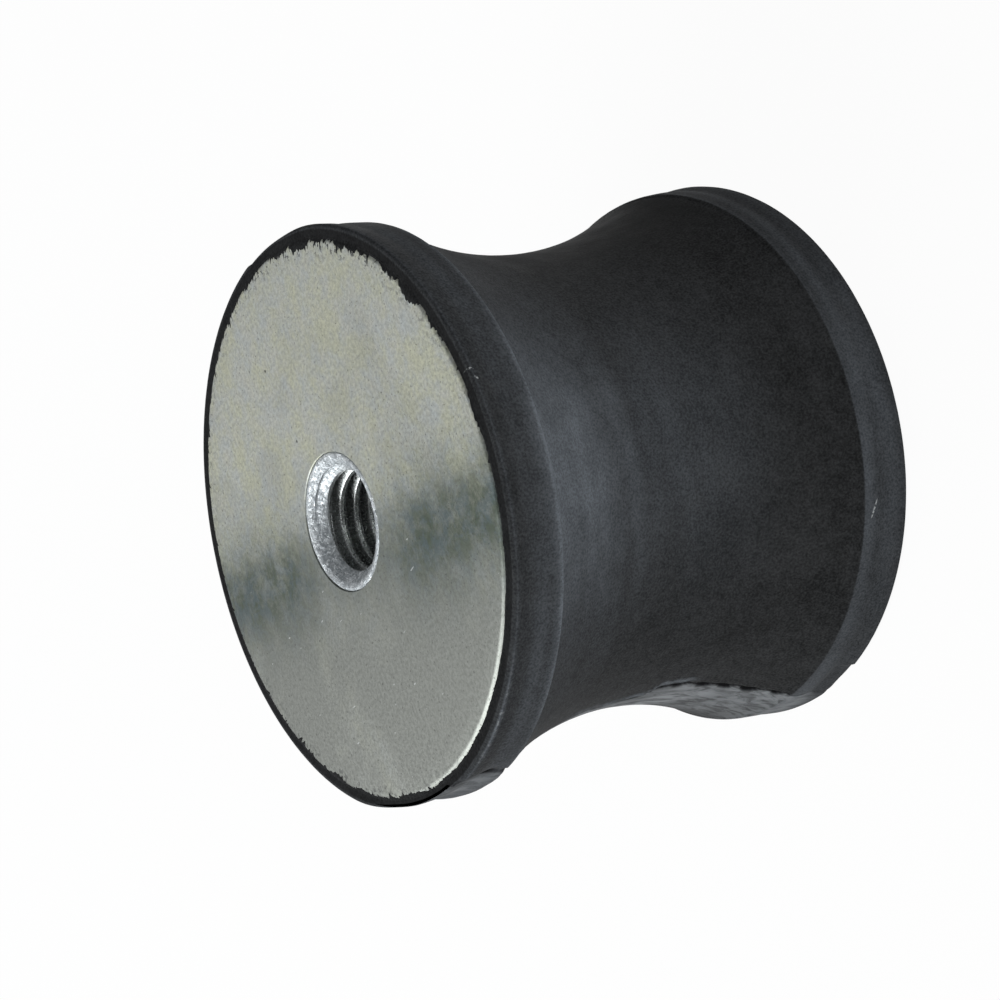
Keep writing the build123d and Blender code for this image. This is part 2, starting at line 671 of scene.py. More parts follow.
@dataclass(frozen=True)
class RubberFinish:
    """Moulded black rubber: fine grain, a bluish bloom with painted sheen in places, torn and
    scuffed edges, and painted shade on one side and in the tears.

    It reads the fields painted_shade, bloom_and_sheen, chalk_and_sheen, torn and scuff.
    """

    black: Colour = (0.0110, 0.0112, 0.0114)
    charcoal: Colour = (0.0440, 0.0445, 0.0455)
    bloom_and_sheen: Colour = (0.155, 0.168, 0.186)
    chalk_and_sheen: Colour = (0.215, 0.222, 0.230)
    torn: Colour = (0.0060, 0.0060, 0.0066)
    scuff: Colour = (0.36, 0.37, 0.37)
    slot: str = "rubber"
    marks: tuple[Mark, ...] = (
        Mark(azimuth=-87.3, height=49.5, length=0.32, width=0.13, slope=62.0),
        Mark(azimuth=-89.2, height=49.3, length=0.26, width=0.12, slope=40.0),
        Mark(azimuth=-126.8, height=4.6, length=1.25, width=0.13, slope=-20.0),
        Mark(azimuth=-112.0, height=27.5, length=0.35, width=0.12, slope=80.0),
        Mark(azimuth=62.0, height=47.3, length=0.8, width=0.12, slope=35.0),
        Mark(azimuth=28.0, height=3.4, length=1.1, width=0.12, slope=15.0),
    )

    def scuffs(self, sketch: NodeSketch) -> bpy.types.NodeSocket:
        """Strength of all the small marks together, broken up by noise.

        Args:
            sketch: The material's nodes.

        Returns:
            The strength from 0 to 1.
        """
        broken = sketch.remap(sketch.noise(size=0.3, detail=2.0), 0.42, 0.56)
        total = 0.0
        for mark in self.marks:
            total = sketch.calc("MAXIMUM", total, sketch.blot(mark))
        return sketch.calc("MULTIPLY", total, broken)

    def material(self) -> bpy.types.Material:
        """Lays out the rubber's nodes.

        Returns:
            The rubber material.
        """
        sketch = NodeSketch("moulded_rubber")
        clouds = sketch.noise(size=9.0, detail=4.0, roughness=0.6)
        grain = sketch.noise(size=0.24, detail=2.0, roughness=0.6)
        blotches = sketch.noise(size=1.3, detail=4.0, roughness=0.65)
        broad = sketch.remap(clouds, 0.3, 0.7, 0.22, 0.58)
        broad = sketch.calc("ADD", broad, sketch.remap(blotches, 0.3, 0.7, -0.12, 0.14))
        tone = sketch.calc("ADD", broad, sketch.remap(grain, 0.2, 0.8, -0.4, 0.5))
        colour = sketch.mix(tone, self.black, self.charcoal)
        # Painted shade: the waist's side round +X is turned plain black.
        colour = sketch.mix(sketch.field("painted_shade"), colour, self.black)
        patches = sketch.noise(size=4.0, detail=4.0, roughness=0.6)
        patches = sketch.remap(patches, 0.3, 0.7, 0.68, 1.0)
        speckle = sketch.remap(grain, 0.2, 0.8, 0.62, 1.38)
        broken = sketch.calc("MULTIPLY", patches, speckle)
        # Bluish bloom together with painted sheen and a painted highlight on the upper crease.
        bloom_and_sheen = sketch.calc("MULTIPLY", sketch.field("bloom_and_sheen"), broken)
        colour = sketch.mix(bloom_and_sheen, colour, self.bloom_and_sheen)
        streaks = sketch.noise(
            size=0.9, detail=3.0, roughness=0.6, stretch=(1.0, 1.4, 5.0), distortion=0.9
        )
        streaks = sketch.remap(streaks, 0.32, 0.62, 0.3, 1.0)
        # Silvery chalk beside the -X seam and below the gash, partly chalky bloom and partly
        # painted sheen.
        chalk_and_sheen = sketch.calc("MULTIPLY", sketch.field("chalk_and_sheen"), streaks)
        colour = sketch.mix(chalk_and_sheen, colour, self.chalk_and_sheen)
        # Darkens the tear along the -X seam, the gash and the seats inside as painted shade; the
        # rim flash is a little darker too.
        colour = sketch.mix(sketch.field("torn"), colour, self.torn)
        flecks = sketch.remap(sketch.noise(size=0.5, detail=2.0, roughness=0.6), 0.55, 0.66)
        worn = sketch.calc("MULTIPLY", flecks, sketch.field("scuff"))
        colour = sketch.mix(sketch.calc("MAXIMUM", worn, self.scuffs(sketch)), colour, self.scuff)
        roughness = sketch.remap(clouds, 0.3, 0.7, 0.58, 0.72)
        coarse = sketch.bump(sketch.noise(size=2.4, detail=3.0), 0.05)
        fine = sketch.bump(grain, 0.03, coarse)
        return sketch.surface(
            Base_Color=colour,
            Roughness=roughness,
            Normal=fine,
            IOR=1.5,
            Specular_IOR_Level=0.03,
        )


@dataclass(frozen=True)
class PassivatedSteelFinish:
    """Zinc plated and passivated sheet: dull grey, mottled, with a dark green and blue cloud."""

    pale: Colour = (0.580, 0.585, 0.525)
    cool: Colour = (0.525, 0.555, 0.545)
    yellow: Colour = (0.585, 0.590, 0.445)
    dull: Colour = (0.300, 0.310, 0.285)
    green: Colour = (0.085, 0.110, 0.080)
    blue: Colour = (0.100, 0.135, 0.140)
    pit: Colour = (0.06, 0.06, 0.055)
    scratch: Colour = (0.78, 0.80, 0.80)
    rubber: Colour = (0.012, 0.012, 0.014)
    slot: str = "plate_steel"

    def material(self) -> bpy.types.Material:
        """Lays out the plates' nodes.

        Returns:
            The plate material.
        """
        sketch = NodeSketch("passivated_steel")
        clouds = sketch.noise(size=14.0, detail=4.0, roughness=0.55, distortion=0.4)
        mottle = sketch.noise(size=1.8, detail=4.0, roughness=0.65, distortion=0.3)
        grain = sketch.noise(size=0.4, detail=2.0, roughness=0.8)
        colour = sketch.mix(sketch.remap(mottle, 0.3, 0.7), self.pale, self.cool)
        warm = sketch.remap(sketch.noise(size=4.0, detail=5.0, roughness=0.75), 0.4, 0.64, 0.0, 0.8)
        colour = sketch.mix(warm, colour, self.yellow)
        drift = sketch.remap(clouds, 0.3, 0.7, -0.28, 0.28)
        colour = sketch.mix(sketch.calc("ADD", sketch.field("dull"), drift), colour, self.dull)
        wisps = sketch.noise(size=3.0, detail=6.0, roughness=0.78, distortion=0.3)
        wisps = sketch.remap(wisps, 0.3, 0.62, 0.5, 1.0)
        cloud_colour = sketch.mix(sketch.remap(mottle, 0.4, 0.6), self.green, self.blue)
        colour = sketch.mix(sketch.calc("MULTIPLY", sketch.field("dark_cloud"), wisps), colour, cloud_colour)
        shade = sketch.remap(grain, 0.3, 0.7, 0.34, -0.04)
        colour = sketch.mix(shade, colour, self.pit)
        specks = sketch.remap(sketch.noise(size=0.34, detail=1.0, roughness=0.5), 0.67, 0.73)
        pits = sketch.remap(sketch.spots(9.0), 0.018, 0.026, 1.0, 0.0)
        holes = sketch.calc("MAXIMUM", sketch.calc("MULTIPLY", specks, 0.55), pits)
        colour = sketch.mix(holes, colour, self.pit)
        nicks = sketch.noise(size=0.4, detail=1.0, stretch=(1.0, 3.0, 1.0), turn=-8.0)
        nicks = sketch.calc("MULTIPLY", sketch.remap(nicks, 0.76, 0.79), sketch.field("dull"))
        colour = sketch.mix(sketch.calc("MULTIPLY", nicks, 0.5), colour, self.scratch)
        flakes = sketch.remap(sketch.noise(size=0.6, detail=2.0, roughness=0.55), 0.575, 0.61)
        smears = sketch.calc("MULTIPLY", flakes, sketch.field("smear"))
        colour = sketch.mix(smears, colour, self.rubber)
        roughness = sketch.remap(grain, 0.2, 0.8, 0.38, 0.5)
        relief = sketch.bump(grain, 0.01, sketch.bump(mottle, 0.03))
        return sketch.surface(
            Base_Color=colour,
            Metallic=sketch.calc("MULTIPLY", sketch.calc("SUBTRACT", 1.0, smears), 0.85),
            Roughness=roughness,
            Normal=relief,
        )


@dataclass(frozen=True)
class TurnedSteelFinish:
    """Bright zinc on turned and tapped steel, darkened in the thread's grooves as painted shade,
    worn and lighter on its crests, partly as a painted highlight.
    """

    bright: Colour = (0.70, 0.73, 0.75)
    grey: Colour = (0.34, 0.365, 0.385)
    groove_shade: Colour = (0.31, 0.32, 0.315)
    crest: Colour = (0.78, 0.80, 0.79)
    slot: str = "bush_steel"

    def material(self) -> bpy.types.Material:
        """Lays out the bushes' nodes.

        Returns:
            The bush material.
        """
        sketch = NodeSketch("turned_steel")
        blobs = sketch.noise(size=0.6, detail=4.0, roughness=0.7, distortion=1.0)
        grain = sketch.noise(size=0.2, detail=2.0)
        colour = sketch.mix(sketch.remap(blobs, 0.4, 0.6), self.bright, self.grey)
        # Painted shade: the thread's grooves take the darker colour, and the crests a lighter one
        # that is partly wear and partly a painted highlight.
        thread = sketch.mix(sketch.field("crest"), self.groove_shade, self.crest)
        colour = sketch.mix(sketch.field("bore"), colour, thread)
        roughness = sketch.remap(blobs, 0.35, 0.65, 0.14, 0.40)
        marks = sketch.calc("SINE", sketch.calc("MULTIPLY", sketch.radius(), FULL_TURN / 0.16))
        face = sketch.calc("SUBTRACT", 1.0, sketch.field("bore"))
        rings = sketch.calc("MULTIPLY", sketch.calc("MULTIPLY", marks, 0.5), face)
        beaten = sketch.calc("MULTIPLY", blobs, sketch.calc("ADD", face, 0.1))
        relief = sketch.bump(rings, 0.005, sketch.bump(grain, 0.004, sketch.bump(beaten, 0.17)))
        return sketch.surface(
            Base_Color=colour,
            Metallic=sketch.calc("SUBTRACT", 0.75, sketch.calc("MULTIPLY", face, 0.25)),
            Roughness=roughness,
            Normal=relief,
        )


@dataclass(frozen=True)
class FloorFinish:
    """Plain white floor that keeps the mount's shadow.

    Attributes:
        white: Colour under the lamps.
        lift: Share of plain white that the camera and gloss see in place of the lit colour.
    """

    white: Colour = (0.75, 0.75, 0.75)
    lift: float = 0.96

    def material(self) -> bpy.types.Material:
        """Lays out the floor's nodes.

        Returns:
            The floor material.
        """
        sketch = NodeSketch("studio_floor")
        rays = sketch.tree.nodes.new("ShaderNodeLightPath")
        seen = sketch.calc("MAXIMUM", rays.outputs["Is Camera Ray"], rays.outputs["Is Glossy Ray"])
        seen = sketch.calc("MAXIMUM", seen, rays.outputs["Is Transmission Ray"])
        matt = sketch.tree.nodes.new("ShaderNodeBsdfDiffuse")
        sketch.put(matt.inputs["Color"], self.white)
        glow = sketch.tree.nodes.new("ShaderNodeEmission")
        glow.inputs["Strength"].default_value = 1.0
        blend = sketch.tree.nodes.new("ShaderNodeMixShader")
        sketch.put(blend.inputs[0], sketch.calc("MULTIPLY", seen, self.lift))
        sketch.tree.links.new(matt.outputs["BSDF"], blend.inputs[1])
        sketch.tree.links.new(glow.outputs["Emission"], blend.inputs[2])
        sketch.tree.links.new(blend.outputs["Shader"], sketch.output.inputs["Surface"])
        return sketch.material


# ---------------------------------------------------------------------------------------------
# Rubber
# ---------------------------------------------------------------------------------------------


@dataclass(frozen=True)
class MouldSeam:
    """Where the mould's halves met: a wandering torn line, a ridge beside it, a set-back half.

    Attributes:
        angle: Angle round the axis in degrees.
        heights: Heights at which the torn line's offset is given, in millimetres.
        offsets: Offsets of the torn line round the body at those heights, in millimetres.
        ridge: How far the ridge stands out.
        tear: Depth of the torn line.
        setback: How far the half beyond the line lies back, on the waist and on the rims.
        step: Width over which that half falls back.
        extent: How far round the body that half stays back.
        chalk_and_sheen: How silvery that half is near the line, partly chalky bloom and partly
            painted sheen.
        seed: Seed of the ragged line.
    """

    angle: float
    heights: tuple[float, ...]
    offsets: tuple[float, ...]
    ridge: float
    tear: float
    setback: tuple[float, float]
    step: float
    extent: float
    chalk_and_sheen: float
    seed: int

    def across(self, angle: Array, radius: Array, height: Array) -> Array:
        """Distance round the body from the torn line, negative on the set-back side.

        The line goes through the given offsets and is jagged by short random waves.

        Args:
            angle: (columns,) angles.
            radius: (rows, 1) radii.
            height: (rows, 1) heights.

        Returns:
            (rows, columns) distances in millimetres.
        """
        jagged = Swell(self.seed, waves=14, most_turns=0, shortest=1.6).at(0.0 * angle, height)
        line = np.interp(height, self.heights, self.offsets) + 0.1 * jagged
        return wrapped(angle - math.radians(self.angle)) * radius - line

    def dress(self, angle: Array, radius: Array, height: Array) -> tuple[Array, dict[str, Array]]:
        """Relief of the seam and what it adds to the finish's fields.

        Bell curves across the line make the tear and the ridge beside it, broken up along the
        line; the far side steps back and returns slowly to the round. The tear's dark colour is
        painted shade.

        Args:
            angle: (columns,) angles.
            radius: (rows, 1) radii.
            height: (rows, 1) heights.

        Returns:
            The relief in millimetres and the fields bloom_and_sheen, chalk_and_sheen and torn.
        """
        across = self.across(angle, radius, height)
        breaks = Swell(self.seed + 1, waves=12, most_turns=0, shortest=2.6).at(0.0 * angle, height)
        presence = 0.45 + 0.55 * smooth_step(breaks, -0.9, 0.4)
        depth = np.minimum(height, SIZES.height - height)
        presence = presence * (0.15 + 0.85 * smooth_step(depth, 4.6, 6.8))
        on_waist = smooth_step(depth, 3.0, 7.0)
        setback = self.setback[0] * on_waist + self.setback[1] * (1.0 - on_waist)
        beyond = smooth_step(across, 0.12, -self.step)
        beyond = beyond * smooth_step(across, -self.extent, -0.5 * self.extent)
        ridge = bell(across, 0.62, 0.34) * presence
        gaping = 0.30 + 0.13 * np.clip(breaks, -1.2, 1.4)
        tear = bell((across + gaping) / gaping, 0.0, 1.0) * presence
        relief = self.ridge * ridge - self.tear * tear - setback * beyond
        slanted = height + 0.6 * across
        streaks = Swell(self.seed + 2, waves=16, most_turns=9, shortest=7.0).at(angle, slanted)
        round_body = wrapped(angle - math.radians(self.angle)) * radius
        # The silvery side beyond the tear: partly chalky bloom, partly painted sheen.
        silver_sheen = smooth_step(across, -1.6 * gaping, -2.8 * gaping)
        silver_sheen = silver_sheen * smooth_step(round_body, -18.0, -6.0)
        silver_sheen = silver_sheen * smooth_step(depth, 0.3, 3.0)
        silver_sheen = silver_sheen * np.clip(0.70 + 0.30 * streaks, 0.15, 1.0)
        waist = smooth_step(height, 16.0, 19.0) * smooth_step(height, 36.0, 31.0)
        fields = {
            "bloom_and_sheen": 0.7 * bell(across, 0.8, 0.4) * waist * presence * self.chalk_and_sheen,
            "chalk_and_sheen": self.chalk_and_sheen * silver_sheen,
            # Painted shade in the tear.
            "torn": np.clip(1.7 * tear, 0.0, 1.0),
        }
        return relief, fields


@dataclass(frozen=True)
class RimForm:
    """Side of one rim, as it came out of the mould.

    Attributes:
        height: From the plate's face to the crease.
        taper: How far the side draws in by the crease.
        ledge: Step inwards from the side to the waist.
    """

    height: float
    taper: float
    ledge: float


@dataclass(frozen=True)
class RimDamage:
    """A nick in the bottom rim and a torn gash in the top rim, both near the seam at -X.

    Angles are in degrees round from that seam, the rest is in millimetres.

    Attributes:
        nick_depth: Depth of the nick.
        nick_end: Angle at which the nick ends in a steep wall.
        nick_height: Height that it reaches.
        gash_depth: Depth of the gash.
        gash_foot: Angle and height of the gash's foot.
        gash_slope: Angle that the gash goes back for each millimetre up.
        gash_width: Half its width, as an angle.
        inset_depth: How far the rim lies back beyond the gash.
    """

    nick_depth: float = 0.26
    nick_end: float = 13.6
    nick_height: float = 3.6
    gash_depth: float = 0.55
    gash_foot: tuple[float, float] = (6.2, 45.0)
    gash_slope: float = 0.55
    gash_width: float = 2.0
    inset_depth: float = 0.5

    def at(self, angle: Array, height: Array) -> tuple[Array, Array, Array]:
        """Relief and traces of the damage.

        The nick rises slowly and ends at its wall. The gash is a bell curve across a slanted
        line, and beyond the line the rim lies back and is pale, partly chalk and partly painted
        sheen. The gash's dark colour is painted shade.

        Args:
            angle: (columns,) angles.
            height: (rows, 1) heights.

        Returns:
            The relief, how torn the skin is, which the finish darkens as painted shade, and how
            pale it is, all (rows, columns).
        """
        degrees = np.degrees(wrapped(angle))
        from_seam = np.where(degrees < 0.0, degrees + 360.0, degrees) - 180.0
        wall = smooth_step(from_seam, self.nick_end, self.nick_end - 0.8)
        nick = wall * smooth_step(from_seam, 0.0, 8.0)
        nick = nick * smooth_step(height, self.nick_height, self.nick_height - 1.4)
        line = self.gash_foot[0] - self.gash_slope * (height - self.gash_foot[1])
        gash = bell(from_seam, line, self.gash_width) * smooth_step(height, 44.6, 46.4)
        gash = gash * smooth_step(height, 50.0, 49.2)
        below = smooth_step(from_seam, line - 0.5, line - 2.6)
        inset = below * smooth_step(from_seam, -36.0, -18.0) * smooth_step(height, 44.0, 47.2)
        pale = below * smooth_step(from_seam, -12.0, -4.0) * smooth_step(height, 45.6, 48.0)
        relief = self.nick_depth * nick + self.gash_depth * gash + self.inset_depth * inset
        return -relief, np.clip(1.3 * gash, 0.0, 1.0), pale


@dataclass
class RubberBody:
    """The waisted moulding with its two mould seams.

    Attributes:
        waist_radius: Radius at the middle.
        rims: The bottom and the top rim.
        ledge_height: Height of the step at each crease.
        crease_droop: How far the upper crease hangs lower near the seam at -X.
        droop_azimuth: Where it hangs lowest, in degrees.
        droop_spread: Angle over which it rises again, in degrees.
        bloom_and_sheen_patches: Azimuth and spread in degrees, and peak, of each patch of strong
            bloom with painted sheen.
        corner_radius: Rounding of the rim's outer corner.
        hollow_depth: Depth of the shallow groove round each rim.
        hollow_place: From the plate's face to the groove's middle.
        hollow_width: Half width of the groove.
        columns: Points round the axis.
        seam_crowding: How much closer the columns stand at the seams.
        damage: The nick and the gash.
        seams: The two seams.
    """

    waist_radius: float = 24.8
    rims: tuple[RimForm, RimForm] = (
        RimForm(height=5.8, taper=0.46, ledge=0.12),
        RimForm(height=5.95, taper=0.3, ledge=0.34),
    )
    ledge_height: float = 0.4
    crease_droop: float = 1.0
    droop_azimuth: float = 168.0
    droop_spread: float = 30.0
    bloom_and_sheen_patches: tuple[tuple[float, float, float], ...] = ((-106.0, 29.0, 1.0), (75.0, 50.0, 0.8))
    corner_radius: float = 0.4
    hollow_depth: float = 0.14
    hollow_place: float = 2.7
    hollow_width: float = 0.8
    columns: int = 520
    seam_crowding: float = 0.40
    damage: RimDamage = RimDamage()
    seams: tuple[MouldSeam, ...] = (
        MouldSeam(
            angle=180.0,
            heights=(0.0, 6.0, 10.0, 19.0, 21.4, 22.6, 27.0, 32.0, 40.0, 45.0, 50.0),
            offsets=(1.6, 1.6, 1.2, 1.5, 1.3, -1.0, -1.5, 0.2, 1.8, 3.4, 2.6),
            ridge=0.11, tear=0.34, setback=(0.05, 0.0), step=0.12, extent=9.0, chalk_and_sheen=1.0, seed=21,
        ),
        MouldSeam(
            angle=0.0,
            heights=(0.0, 8.0, 20.0, 33.0, 42.0, 50.0),
            offsets=(0.3, -0.4, 0.2, 0.5, -0.3, 0.1),
            ridge=0.05, tear=0.05, setback=(0.04, 0.22), step=1.2, extent=14.0, chalk_and_sheen=0.2, seed=61,
        ),
    )

    def angles(self) -> Array:
        """Angles of the columns, u - c sin 2u, crowded at the seams at 0 and half a turn."""
        even = np.linspace(0.0, FULL_TURN, self.columns, endpoint=False)
        return even - self.seam_crowding * np.sin(2.0 * even)

    def side_radius(self, height: Array) -> Array:
        """Radius of the outside at each height.

        Each rim's side tapers and has a bell-shaped groove. At the crease it steps in to the waist,
        an arc through the step's foot that is upright at the middle.

        Args:
            height: Heights in millimetres.

        Returns:
            Radii in millimetres.
        """
        side_start = SIZES.end_setback + self.corner_radius
        radius = np.zeros(height.shape)
        for rim, upper in zip(self.rims, (False, True)):
            depth = SIZES.height - height if upper else height
            slope = rim.taper / (rim.height - side_start)
            groove = self.hollow_depth * bell(depth, self.hollow_place, self.hollow_width)
            side = SIZES.rim_radius - slope * (depth - side_start) - groove
            foot_radius = SIZES.rim_radius - rim.taper - rim.ledge
            half_span = SIZES.height / 2 - rim.height
            sagitta = foot_radius - self.waist_radius
            arc_radius = (half_span**2 + sagitta**2) / (2 * sagitta)
            from_middle = np.minimum(np.abs(height - SIZES.height / 2), half_span)
            waist = self.waist_radius + arc_radius - np.sqrt(arc_radius**2 - from_middle**2)
            in_waist = smooth_step(depth, rim.height - 0.1, rim.height + self.ledge_height)
            half = side + (waist - side) * in_waist
            radius = np.where((height > SIZES.height / 2) == upper, half, radius)
        return radius

    def outside(self) -> tuple[Array, Array]:
        """Section of the outside, from the bottom rim's corner to the top rim's.

        Returns:
            Radii and heights in millimetres.
        """
        setback, corner = SIZES.end_setback, self.corner_radius
        middle = SIZES.height / 2
        turn = np.linspace(0.0, math.pi / 2, 6, endpoint=False)
        corner_radius = SIZES.rim_radius - corner + corner * np.sin(turn)
        corner_height = setback + corner - corner * np.cos(turn)
        radii, heights = [], []
        for rim, upper in zip(self.rims, (False, True)):
            before, after = rim.height - 0.15, rim.height + self.ledge_height + 0.1
            depth = np.concatenate([
                np.linspace(setback + corner, before, 14, endpoint=False),
                np.linspace(before, after, 12, endpoint=False),
                np.linspace(after, middle, 50, endpoint=not upper),
            ])
            side_height = SIZES.height - depth if upper else depth
            radius = np.concatenate([corner_radius, self.side_radius(side_height)])
            corner_side = np.where(upper, SIZES.height - corner_height, corner_height)
            height = np.concatenate([corner_side, side_height])
            radii.append(radius[::-1] if upper else radius)
            heights.append(height[::-1] if upper else height)
        return np.concatenate(radii), np.concatenate(heights)

    def inside(self) -> tuple[Array, Array]:
        """Section of the bottom seats, from the axis out to the end face's outer corner.

        Returns:
            Radii and heights in millimetres.
        """
        barrel, length, chamfer = SIZES.barrel_radius, SIZES.bush_length, BARREL_CHAMFER
        plate, back, setback = SIZES.plate_radius, SIZES.plate_thickness, SIZES.end_setback
        return section(
            ((0.0, length), (barrel - chamfer, length), 3),
            ((barrel - chamfer, length), (barrel, length - chamfer), 1),
            ((barrel, length - chamfer), (barrel, back), 1),
            ((barrel, back), (plate, back), 1),
            ((plate, back), (plate, setback), 1),
            ((plate, setback), (SIZES.rim_radius - self.corner_radius, setback), 5),
        )

    def bloom_and_sheen(self, angle: Array, height: Array) -> Array:
        """Strength of the bluish bloom, with painted sheen and a painted highlight.

        It is strong under the upper crease and fades to the middle, lies faintly on both rims, and
        comes and goes round the body in two broad patches with streaks along the rim. Much of it is
        painted sheen: the band under the upper crease, the patch round -106 degrees and the lighter
        rims. A thin painted highlight runs along the upper crease's edge.

        Args:
            angle: (columns,) angles.
            height: (rows, 1) heights.

        Returns:
            (rows, columns) strength from 0 to 1.
        """
        bottom, top = self.rims[0].height, SIZES.height - self.rims[1].height
        patch = np.zeros(angle.shape)
        for azimuth, spread, peak in self.bloom_and_sheen_patches:
            patch = np.maximum(patch, peak * around(angle, azimuth, spread))
        streaks = Swell(seed=71, waves=24, most_turns=4, shortest=2.2).at(angle, height)
        share = 0.06 + 0.94 * patch
        on_waist = smooth_step(height, bottom, bottom + 0.2)
        on_waist = on_waist * smooth_step(height, top + 0.05, top - 0.15)
        fading = 0.24 * smooth_step(height, 10.0, 24.0) + 0.55 * smooth_step(height, 27.5, 41.5)
        strength = share * fading * on_waist * (1.0 + 0.12 * streaks)
        # A thin painted highlight along the upper crease's edge.
        strength = strength + 0.7 * bell(height, top + 0.05, 0.15) * (0.45 + 0.55 * patch)
        low_rim = smooth_step(height, bottom + 0.1, bottom - 0.1)
        near_crease = smooth_step(height, 2.4, 4.2)
        fading = 0.13 + 0.15 * near_crease + 0.13 * patch
        strength = strength + low_rim * fading * (1.0 + 0.25 * streaks)
        high_rim = smooth_step(height, top - 0.1, top + 0.1)
        fading = 0.08 + (0.16 + 0.36 * share) * smooth_step(height, SIZES.height - 1.0, top + 1.0)
        return np.clip(strength + high_rim * fading * (1.0 + 0.3 * streaks), 0.0, 1.0)

    def painted_shade(self, angle: Array, height: Array) -> Array:
        """Painted shade that turns the waist plain black: strong on the side round +X, fading at
        the creases.

        Args:
            angle: (columns,) angles.
            height: (rows, 1) heights.

        Returns:
            (rows, columns) share of plain black from 0 to 1.
        """
        degrees = np.degrees(wrapped(angle))
        side = smooth_step(degrees, -66.0, -30.0) * smooth_step(degrees, 60.0, 20.0)
        on_waist = smooth_step(height, 5.8, 7.0) * smooth_step(height, 43.0, 38.0)
        return 0.75 * side * on_waist

    def relief(self, angle: Array, radius: Array, height: Array) -> tuple[Array, dict[str, Array]]:
        """Radial relief of the outside, and the fields that its finish reads.

        A shallow swell and finer dents lie everywhere, and near one seam the upper crease hangs
        lower. The seams and the damage come on top.

        Args:
            angle: (columns,) angles.
            radius: (rows, 1) radii of the plain section.
            height: (rows, 1) heights of the plain section.

        Returns:
            The relief in millimetres and the named fields, all (rows, columns).
        """
        swell = Swell(seed=11, waves=26, most_turns=7, shortest=18.0).at(angle, height)
        dents = Swell(seed=12, waves=40, most_turns=60, shortest=3.0).at(angle, height)
        relief = -0.02 + 0.012 * np.clip(swell, -1.5, 1.5) - 0.006 * np.abs(dents)
        droop = self.crease_droop * around(angle, self.droop_azimuth, self.droop_spread)
        lowered = height + droop * smooth_step(height, 39.0, 42.0) * smooth_step(height, 49.0, 45.5)
        relief = relief + self.side_radius(lowered) - self.side_radius(height + 0.0 * angle)
        scar, gash, pale = self.damage.at(angle, height)
        fields = {
            "painted_shade": self.painted_shade(angle, height),
            "bloom_and_sheen": self.bloom_and_sheen(angle, height),
            "chalk_and_sheen": 0.5 * pale,
            "torn": gash,
            "scuff": np.zeros_like(relief),
        }
        for seam in self.seams:
            seam_relief, seam_fields = seam.dress(angle, radius, height)
            relief = relief + seam_relief
            for name, values in seam_fields.items():
                fields[name] = np.maximum(fields[name], values)
        # Painted highlight: a thin pale line along the top rim's outer corner, strongest round -156
        # degrees, where scuffs lie on it too.
        lip = bell(height, SIZES.height - 0.55, 0.13)
        lip_patch = around(angle, -156.0, 11.0)
        fields["bloom_and_sheen"] = np.maximum(fields["bloom_and_sheen"], lip * (0.3 + 0.7 * lip_patch))
        fields["scuff"] = 0.5 * lip * lip_patch
        return np.minimum(relief + scar, self.seam_limit(angle)), fields

    def seam_limit(self, angle: Array) -> Array:
        """How far the skin may stand out: nothing, but for the moulded ridges at the seams."""
        off_seam = np.minimum(np.abs(wrapped(angle)), math.pi - np.abs(wrapped(angle)))
        return 0.2 * smooth_step(off_seam * SIZES.rim_radius, 1.6, 0.6)

    def skin(self) -> Skin:
        """The whole moulding's skin, from the lower pole in the bottom seat to the upper one.

        Returns:
            The closed skin with the fields painted_shade, bloom_and_sheen, chalk_and_sheen, torn
            and scuff.
        """
        inner_radius, inner_height = self.inside()
        outer_radius, outer_height = self.outside()
        radius = np.concatenate([inner_radius, outer_radius, inner_radius[::-1]])
        height = np.concatenate([inner_height, outer_height, SIZES.height - inner_height[::-1]])
        outside = np.zeros((len(radius), 1))
        outside[len(inner_radius) : len(inner_radius) + len(outer_radius)] = 1.0
        angle = self.angles()
        column_radius, column_height = radius[:, None], height[:, None]
        relief, fields = self.relief(angle, np.maximum(column_radius, 1.0), column_height)
        grid_radius = column_radius + relief * outside
        fields = {name: values * outside for name, values in fields.items()}
        # Painted shade on the seats against the metal.
        fields["torn"] = np.maximum(fields["torn"], 0.55 * (1.0 - outside))
        return Skin(turned(grid_radius, column_height, angle), Closure.POLES, fields)

    def build(self, finish: bpy.types.Material) -> bpy.types.Object:
        """Builds and dresses the moulding."""
        piece = self.skin().build("rubber_moulding", crease_angle=50.0)
        return settle(piece, finish, RubberFinish.slot, "rubber_body")


@dataclass(frozen=True)
class FlashSpread:
    """Where round a plate's edge the rubber flash is wide.

    Attributes:
        start: Azimuth that the clockwise angle is counted from, in degrees.
        least: Width that is there all round, in millimetres.
        patches: (clockwise angle, half spread, width) of each wide patch, degrees and millimetres.
    """

    start: float = -25.8
    least: float = 0.05
    patches: tuple[tuple[float, float, float], ...] = (
        (2.0, 46.0, 1.0),
        (196.0, 40.0, 0.62),
        (282.0, 34.0, 0.42),
    )

    def clockwise(self, angle: Array) -> Array:
        """Clockwise angle from the start, in radians from minus to plus half a turn."""
        return wrapped(math.radians(self.start) - angle)

    def width(self, angle: Array) -> Array:
        """Broad width of the flash, the least width plus a bell for each patch.

        Args:
            angle: Angles in radians.

        Returns:
            Widths in millimetres.
        """
        total = np.full(angle.shape, self.least)
        for place, spread, width in self.patches:
            away = wrapped(self.clockwise(angle) - math.radians(place))
            total = total + width * bell(away, 0.0, math.radians(spread))
        return total


